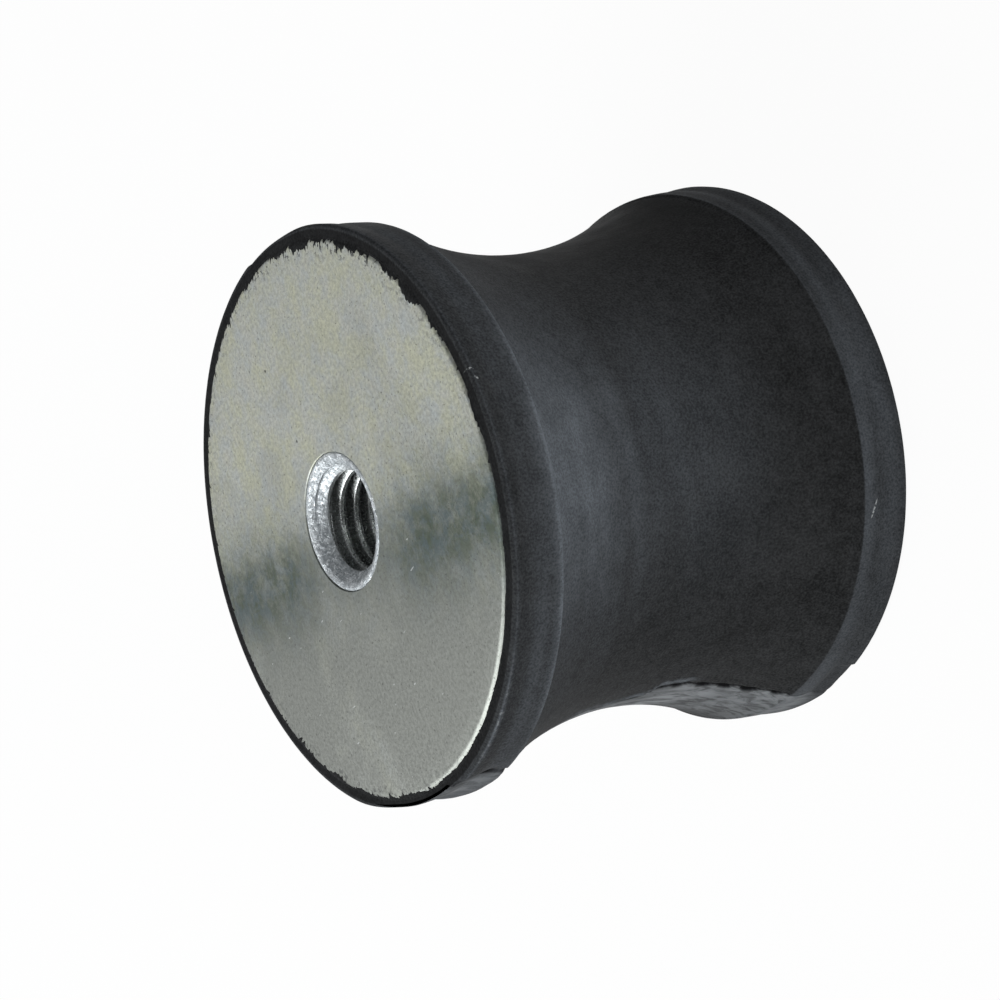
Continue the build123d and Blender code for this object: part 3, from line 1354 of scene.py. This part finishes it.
@dataclass
class RimFlash:
    """Thin ragged rubber film that the mould left over a plate's rolled edge.

    Attributes:
        end: The end of the mount.
        seed: Seed of the ragged edge.
        spread: Where the film is wide.
        columns: Points round the axis.
        film: Thickness of the film.
        lean: How far the teeth are swept aside, as a share of their reach.
    """

    end: End
    seed: int
    spread: FlashSpread = FlashSpread()
    columns: int = 3600
    film: float = 0.035
    lean: float = 0.9

    def reach(self, angle: Array) -> Array:
        """How far the film reaches in over the plate's edge.

        The broad width is multiplied by wide random bays and by fine teeth.

        Args:
            angle: (columns,) angles.

        Returns:
            Reach in millimetres.
        """
        bays = ragged(self.columns, self.seed, 8, 44, 0.25)
        teeth = ragged(self.columns, self.seed + 1, 40, 430, 0.55)
        long_teeth = np.clip(teeth - 0.7, 0.0, None) ** 1.5
        torn = np.clip(0.42 + 0.3 * bays + 0.17 * teeth + 0.28 * long_teeth, 0.04, 1.7)
        return np.clip(self.spread.width(angle) * torn, 0.02, 1.5)

    def skin(self) -> Skin:
        """The film's closed section, swept round with its changing reach.

        From the end face the upper side climbs over the rolled edge to the tip, and the lower side
        comes back just inside the plate's metal. Towards the tip each tooth is swept clockwise by
        the sine of its clockwise angle.

        Returns:
            The closed skin.
        """
        angle = np.linspace(0.0, FULL_TURN, self.columns, endpoint=False)
        reach = self.reach(angle)[None, :]
        plate = EndPlate(self.end)
        root = SIZES.plate_radius + 0.25
        share = np.linspace(0.0, 1.0, 7)[:, None]
        upper_radius = root + (SIZES.plate_radius - reach - root) * share
        metal = plate.face_height(np.minimum(upper_radius, SIZES.plate_radius))
        thickness = self.film * np.minimum(1.0, 4.0 * (1.0 - share))
        upper_height = metal + thickness
        upper_height[0] = SIZES.height - SIZES.end_setback - 0.03
        lower_height = metal[::-1][1:-1] - 0.06
        radius = np.concatenate([upper_radius, upper_radius[::-1][1:-1]])
        height = np.minimum(np.concatenate([upper_height, lower_height]), SIZES.height - 0.004)
        swept = self.lean * np.sin(self.spread.clockwise(angle)) * reach * share**2
        sweep = np.concatenate([swept, swept[::-1][1:-1]]) / SIZES.plate_radius
        skin = Skin(turned(radius, height, angle - sweep), Closure.LOOP)
        zero = np.zeros(radius.shape)
        skin.fields = {"bloom_and_sheen": zero, "chalk_and_sheen": zero, "torn": zero + 0.35, "scuff": zero}
        return skin if self.end is End.TOP else skin.turned_over()

    def build(self, finish: bpy.types.Material) -> bpy.types.Object:
        """Builds and dresses the film."""
        piece = self.skin().build(f"{self.end.value}_rim_flash", crease_angle=60.0)
        return settle(piece, finish, RubberFinish.slot)


# ---------------------------------------------------------------------------------------------
# Metal
# ---------------------------------------------------------------------------------------------


@dataclass
class EndPlate:
    """Blanked steel plate with a rolled outer edge and a hole for the bush.

    Attributes:
        end: The end of the mount.
        hole_radius: Radius of the hole.
        roll_width: Width of the rolled edge.
        sag_depth: How far the face has sunk by the start of the roll.
        columns: Points round the axis.
        border_azimuth: Direction across the dull side's border, in degrees.
        border_offset: The border's distance from the axis.
    """

    end: End
    hole_radius: float = 7.15
    roll_width: float = 0.5
    sag_depth: float = 0.045
    columns: int = 720
    border_azimuth: float = -14.7
    border_offset: float = -2.6

    def face_height(self, radius: Array) -> Array:
        """Height of the outer face at each radius.

        The face is flat, sinks slightly over its last 2 mm, and ends in an arc that is tangent to
        it and falls by the roll's depth in the roll's width.

        Args:
            radius: Distances from the axis.

        Returns:
            Heights for the top end.
        """
        roll_start = SIZES.plate_radius - self.roll_width
        sag = self.sag_depth * smooth_step(radius, roll_start - 1.4, roll_start + 0.3)
        drop = SIZES.end_setback - self.sag_depth
        arc_radius = (self.roll_width**2 + drop**2) / (2 * drop)
        run = np.clip(radius - roll_start, 0.0, self.roll_width)
        roll = arc_radius - np.sqrt(arc_radius**2 - run**2)
        return SIZES.height - sag - roll

    def skin(self) -> Skin:
        """Closed section swept round: hole, face, roll, side and back, with a faint unevenness.

        Returns:
            The closed skin with the fields dull, dark_cloud and smear.
        """
        plate, back = SIZES.plate_radius, SIZES.height - SIZES.plate_thickness
        inner = self.hole_radius
        roll_start = plate - self.roll_width
        face_radius = np.concatenate([
            np.linspace(plate, roll_start - 1.6, 14, endpoint=False),
            np.linspace(roll_start - 1.6, inner + 0.08, 30),
        ])
        face_height = self.face_height(face_radius)
        rest_radius, rest_height = section(
            ((inner, SIZES.height - 0.08), (inner, back), 3),
            ((inner, back), (plate, back), 4),
            ((plate, back), (plate, SIZES.height - SIZES.end_setback), 2),
        )
        radius = np.concatenate([face_radius, rest_radius])[:, None]
        height = np.concatenate([face_height, rest_height])[:, None]
        angle = np.linspace(0.0, FULL_TURN, self.columns, endpoint=False)
        waves = Swell(seed=31, waves=20, most_turns=5, shortest=9.0).at(angle, radius)
        on_face = np.concatenate([np.ones(len(face_radius)), np.zeros(len(rest_radius))])[:, None]
        height = height - 0.006 * (1.0 + np.clip(waves, -1.0, 1.0)) * on_face
        points = turned(np.broadcast_to(radius, height.shape), height, angle)
        skin = Skin(points, Closure.LOOP, self.colour_fields(points))
        return skin if self.end is End.TOP else skin.turned_over()

    def colour_fields(self, points: Array) -> dict[str, Array]:
        """Fields of the plate's colour: a dull side, a dark cloud on its border, a smeared edge.

        The border is a straight line across the plate. The dull side lies beyond it, and the cloud
        is a bell across it, weaker near the middle.

        Args:
            points: (rows, columns, 3) places.

        Returns:
            The fields dull, dark_cloud and smear, each (rows, columns) from 0 to 1.
        """
        x, y = points[..., 0], points[..., 1]
        lean = math.radians(self.border_azimuth)
        beyond = x * math.cos(lean) + y * math.sin(lean) - self.border_offset
        along = x * math.sin(lean) - y * math.cos(lean)
        radius, angle = np.hypot(x, y), np.arctan2(y, x)
        near_edge = smooth_step(radius, SIZES.plate_radius - 3.2, SIZES.plate_radius - 0.4)
        flash = np.clip(FlashSpread().width(angle), 0.0, 1.0)
        outwards = 0.42 + 0.58 * smooth_step(np.abs(along), 4.0, 14.0)
        return {
            "dull": smooth_step(beyond, 4.5, -3.0),
            "dark_cloud": bell(beyond, -1.2, 6.2) * outwards,
            "smear": near_edge**2 * flash,
        }

    def build(self, finish: bpy.types.Material) -> bpy.types.Object:
        """Builds and dresses the plate."""
        piece = self.skin().build(f"{self.end.value}_end_plate", crease_angle=40.0)
        return settle(piece, finish, PassivatedSteelFinish.slot, f"{self.end.value}_plate")


@dataclass
class ThreadedBush:
    """Turned bush with a dished mouth and a right-hand ISO metric thread.

    Attributes:
        end: The end of the mount.
        thread_diameter: Major diameter.
        pitch: Rise of the thread in one turn.
        thread_depth: From the face to the end of the full bore.
        cut_depth: Where the thread starts to run out.
        mouth_radius: Radius of the dished mouth at the face.
        lip_rounding: Radius of the rounding from the face into the mouth.
        collar_radius: Radius of the part in the plate's hole.
        corner_rounding: Rounding of the thread's crests and roots.
        columns: Points round the axis.
    """

    end: End
    thread_diameter: float = 12.0
    pitch: float = 1.75
    thread_depth: float = 13.0
    cut_depth: float = 11.0
    mouth_radius: float = 6.95
    lip_rounding: float = 1.1
    collar_radius: float = 7.1
    corner_rounding: float = 0.035
    columns: int = 288

    def bore_radius(self) -> float:
        """Radius of the crests of an ISO internal thread, (D - 1.0825 P) / 2."""
        return (self.thread_diameter - 1.0825 * self.pitch) / 2

    def groove(self, phase: Array) -> Array:
        """Depth of the groove at each phase of the pitch, from 0 at a crest to 1 at a root.

        The crest is flat over a quarter of the pitch, the root over an eighth, with straight flanks
        between, and the corners are rounded by averaging over a short stretch.

        Args:
            phase: Place along the axis in pitches, less the turn.

        Returns:
            The groove's share of its full depth.
        """
        samples = 1024
        place = np.arange(samples) / samples
        from_crest = np.minimum(place, 1.0 - place)
        sharp = np.clip((from_crest - 1 / 8) / (7 / 16 - 1 / 8), 0.0, 1.0)
        spread = np.fft.rfftfreq(samples, 1 / samples)
        blur = np.exp(-0.5 * (FULL_TURN * spread * self.corner_rounding / self.pitch) ** 2)
        rounded = np.fft.irfft(np.fft.rfft(sharp) * blur, samples)
        return np.interp(phase % 1.0, np.append(place, 1.0), np.append(rounded, rounded[0]))

    def mouth(self, depth: Array) -> Array:
        """Radius of the mouth: an arc from the level face into a 45 degree cone.

        Args:
            depth: Depths below the face.

        Returns:
            Radii in millimetres.
        """
        rounding = self.lip_rounding
        arc_depth = rounding * (1.0 - math.cos(math.pi / 4))
        in_arc = np.minimum(depth, arc_depth)
        arc = self.mouth_radius - np.sqrt(rounding**2 - (rounding - in_arc) ** 2)
        return arc - np.maximum(depth - arc_depth, 0.0)

    def inner_radius(self, depth: Array, angle: Array) -> Array:
        """Radius of the bore at each depth below the face.

        The thread's groove winds down with the turn and runs out at the end of the cut. The larger
        of the bore and the mouth counts, and the mouth is slightly dented.

        Args:
            depth: (rows, 1) depths.
            angle: (columns,) angles.

        Returns:
            (rows, columns) radii.
        """
        bore = self.bore_radius()
        # Seen from the face a right-hand groove goes deeper as it turns clockwise.
        phase = depth / self.pitch + angle / FULL_TURN
        height = (self.thread_diameter / 2 - bore) * self.groove(phase)
        fade = smooth_step(depth, self.cut_depth + 1.0, self.cut_depth)
        dents = Swell(seed=81, waves=40, most_turns=44, shortest=0.7).at(angle, depth)
        mouth = self.mouth(depth) + 0.012 * np.clip(dents, -1.5, 1.5)
        return np.maximum(bore + height * fade, mouth)

    def skin(self) -> Skin:
        """Closed section from the bore's closed end up the thread, over the face and down outside.

        Returns:
            The closed skin with the fields bore and crest, its poles under the closed end and at
            the drill point.
        """
        top, length = SIZES.height, SIZES.bush_length
        bore, collar, plate = self.bore_radius(), self.collar_radius, SIZES.plate_thickness
        barrel, chamfer = SIZES.barrel_radius, BARREL_CHAMFER
        angle = np.linspace(0.0, FULL_TURN, self.columns, endpoint=False)
        outer_radius, outer_height = section(
            ((0.0, top - length), (barrel - chamfer, top - length), 3),
            ((barrel - chamfer, top - length), (barrel, top - length + chamfer), 1),
            ((barrel, top - length + chamfer), (barrel, top - plate), 3),
            ((barrel, top - plate), (collar, top - plate), 1),
            ((collar, top - plate), (collar, top - 0.14), 2),
            ((collar, top - 0.14), (collar - 0.12, top - 0.01), 2),
        )
        turn = np.linspace(0.0, math.pi / 4, 9, endpoint=False)
        lip = self.lip_rounding * (1.0 - np.cos(turn)) + 0.01
        fine = np.linspace(lip[-1] + 0.03, 8.0, 225, endpoint=False)
        coarse = np.linspace(8.0, self.thread_depth, 50)
        depth = np.concatenate([lip, fine, coarse])[:, None]
        bore_radius = self.inner_radius(depth, angle)
        point_depth = bore / math.tan(HALF_DRILL_ANGLE)
        drill_radius = np.linspace(bore, 0.0, 6)[1:]
        drill_height = top - self.thread_depth - point_depth * (1.0 - drill_radius / bore)
        shape = (1, self.columns)
        radius = np.concatenate([
            np.tile(outer_radius[:, None], shape),
            bore_radius,
            np.tile(drill_radius[:, None], shape),
        ])
        height = np.concatenate([outer_height, top - depth[:, 0], drill_height])[:, None]
        # The thread from about 1 mm down is painted darker in the finish as shade, its crests
        # lighter.
        in_bore = smooth_step(top - height, 0.9, 2.4) * (radius < self.thread_diameter / 2 + 0.1)
        crest = smooth_step(radius - bore, 0.16, 0.03) * in_bore
        fields = {"bore": in_bore, "crest": crest}
        skin = Skin(turned(radius, height, angle), Closure.POLES, fields)
        return skin if self.end is End.TOP else skin.turned_over()

    def build(self, finish: bpy.types.Material) -> bpy.types.Object:
        """Builds and dresses the bush."""
        piece = self.skin().build(f"{self.end.value}_bush", crease_angle=32.0)
        return settle(piece, finish, TurnedSteelFinish.slot, f"{self.end.value}_threaded_bush")


# ---------------------------------------------------------------------------------------------
# Studio
# ---------------------------------------------------------------------------------------------


@dataclass(frozen=True)
class ViewPoint:
    """Where the camera stands: round the mount, above it, rolled so that the axis lies across.

    Attributes:
        azimuth: Direction from the mount to the camera, in degrees from +X.
        elevation: Height above the horizon in degrees.
        roll: Turn of the camera about its own line of sight, in degrees.
        distance: From the camera to the plane through the mount's middle, in millimetres.
        across: How far the line of sight passes the middle to the right, in millimetres.
        up: The same, upwards.
        lens: Focal length in millimetres on a 36 mm sensor.
    """

    azimuth: float = -109.99
    elevation: float = 33.77
    roll: float = -100.5
    distance: float = 244.8
    across: float = -4.36
    up: float = -1.58
    lens: float = 82.3

    def axes(self) -> tuple[Vector, Vector, Vector]:
        """Directions to the camera's right, its top and its back."""
        back = direction(self.azimuth, self.elevation)
        flat_right = Vector((0.0, 0.0, 1.0)).cross(back).normalized()
        flat_up = back.cross(flat_right)
        roll = math.radians(self.roll)
        right = flat_right * math.cos(roll) + flat_up * math.sin(roll)
        top = flat_up * math.cos(roll) - flat_right * math.sin(roll)
        return right, top, back

    def build(self, middle: Vector) -> bpy.types.Object:
        """Makes the camera.

        Args:
            middle: The mount's middle in metres.

        Returns:
            The camera, set as the scene's.
        """
        right, top, back = self.axes()
        aim = middle + (right * self.across + top * self.up) * METRES
        data = bpy.data.cameras.new("camera")
        data.lens = self.lens
        data.clip_start, data.clip_end = 0.01, 20.0
        camera = linked("camera", data)
        turn = Matrix((right, top, back)).transposed().to_4x4()
        camera.matrix_world = Matrix.Translation(aim + back * self.distance * METRES) @ turn
        bpy.context.scene.camera = camera
        return camera


@dataclass(frozen=True)
class Softbox:
    """A square soft lamp that faces the mount.

    Attributes:
        name: The lamp's name.
        azimuth: Direction from the mount, in degrees from +X.
        elevation: Height above the horizon in degrees.
        distance: Distance in metres.
        size: Length of a side in metres.
        power: Power in watts.
        colour: Colour of the light.
    """

    name: str
    azimuth: float
    elevation: float
    distance: float
    size: float
    power: float
    colour: Colour = (1.0, 1.0, 1.0)

    def build(self, middle: Vector) -> bpy.types.Object:
        """Makes the lamp.

        Args:
            middle: The mount's middle in metres.

        Returns:
            The lamp.
        """
        away = direction(self.azimuth, self.elevation)
        data = bpy.data.lights.new(self.name, "AREA")
        data.shape, data.size = "SQUARE", self.size
        data.energy, data.color = self.power, self.colour
        lamp = linked(self.name, data)
        lamp.location = middle + away * self.distance
        lamp.rotation_mode = "QUATERNION"
        lamp.rotation_quaternion = (-away).to_track_quat("-Z", "Y")
        return lamp


@dataclass
class Studio:
    """Plain pale floor, soft lamps, grey surroundings and the camera.

    Attributes:
        floor_size: Length of the floor's side in metres.
        horizon: Colour of the surroundings at the horizon.
        zenith: Their colour overhead.
        lamps: The soft lamps.
    """

    floor_size: float = 6.0
    horizon: Colour = (0.15, 0.155, 0.16)
    zenith: Colour = (0.08, 0.082, 0.085)
    lamps: tuple[Softbox, ...] = (
        Softbox("key", 130.0, 50.0, distance=0.55, size=0.4, power=3.0, colour=(0.96, 0.99, 1.0)),
        Softbox("far_side", 65.0, 36.0, distance=0.6, size=0.6, power=0.62),
        Softbox("overhead", -155.0, 52.0, distance=0.55, size=0.25, power=0.06),
        Softbox("fill", -108.0, 4.0, distance=0.7, size=0.4, power=3.1, colour=(0.95, 0.98, 1.0)),
    )

    def build_floor(self) -> bpy.types.Object:
        """Makes the floor, a flat grid under the mount.

        Returns:
            The floor.
        """
        edge = np.linspace(-self.floor_size / 2, self.floor_size / 2, 3)
        x, y = np.meshgrid(edge, edge)
        points = np.stack([x, y, np.zeros_like(x)], axis=-1).reshape(-1, 3)
        start = (np.arange(2)[:, None] * 3 + np.arange(2)[None, :]).reshape(-1, 1)
        faces = start + np.array([0, 1, 4, 3])
        mesh = bpy.data.meshes.new("floor")
        mesh.from_pydata(points.tolist(), [], faces.tolist())
        mesh.materials.append(FloorFinish().material())
        floor = linked("floor", mesh)
        return floor

    def build_surroundings(self) -> None:
        """Makes the world: grey at the horizon, darker overhead."""
        world = bpy.data.worlds.new("surroundings")
        world.use_nodes = True
        tree = world.node_tree
        sky = tree.nodes["Background"]
        place = tree.nodes.new("ShaderNodeTexCoord")
        split = tree.nodes.new("ShaderNodeSeparateXYZ")
        tree.links.new(place.outputs["Generated"], split.inputs["Vector"])
        blend = tree.nodes.new("ShaderNodeMix")
        blend.data_type = "RGBA"
        tree.links.new(split.outputs["Z"], blend.inputs["Factor"])
        blend.inputs[MIX_FIRST].default_value = (*self.horizon, 1.0)
        blend.inputs[MIX_SECOND].default_value = (*self.zenith, 1.0)
        tree.links.new(blend.outputs[MIX_RESULT], sky.inputs["Color"])
        sky.inputs["Strength"].default_value = 1.0
        bpy.context.scene.world = world

    def build(self) -> None:
        """Builds the floor, the surroundings, the lamps and the camera."""
        middle = Vector((0.0, 0.0, SIZES.height / 2)) * METRES
        self.build_floor()
        self.build_surroundings()
        for lamp in self.lamps:
            lamp.build(middle)
        ViewPoint().build(middle)
        bpy.context.scene.view_settings.view_transform = "Standard"


def main() -> None:
    """Builds the pieces in order, then the studio."""
    logging.basicConfig(level=logging.INFO, format="%(message)s")
    rubber = RubberFinish().material()
    passivated = PassivatedSteelFinish().material()
    turned_steel = TurnedSteelFinish().material()
    RubberBody().build(rubber)
    for end, seed in ((End.TOP, 41), (End.BOTTOM, 51)):
        EndPlate(end).build(passivated)
        ThreadedBush(end).build(turned_steel)
        RimFlash(end, seed).build(rubber)
    Studio().build()


if __name__ == "__main__":
    main()
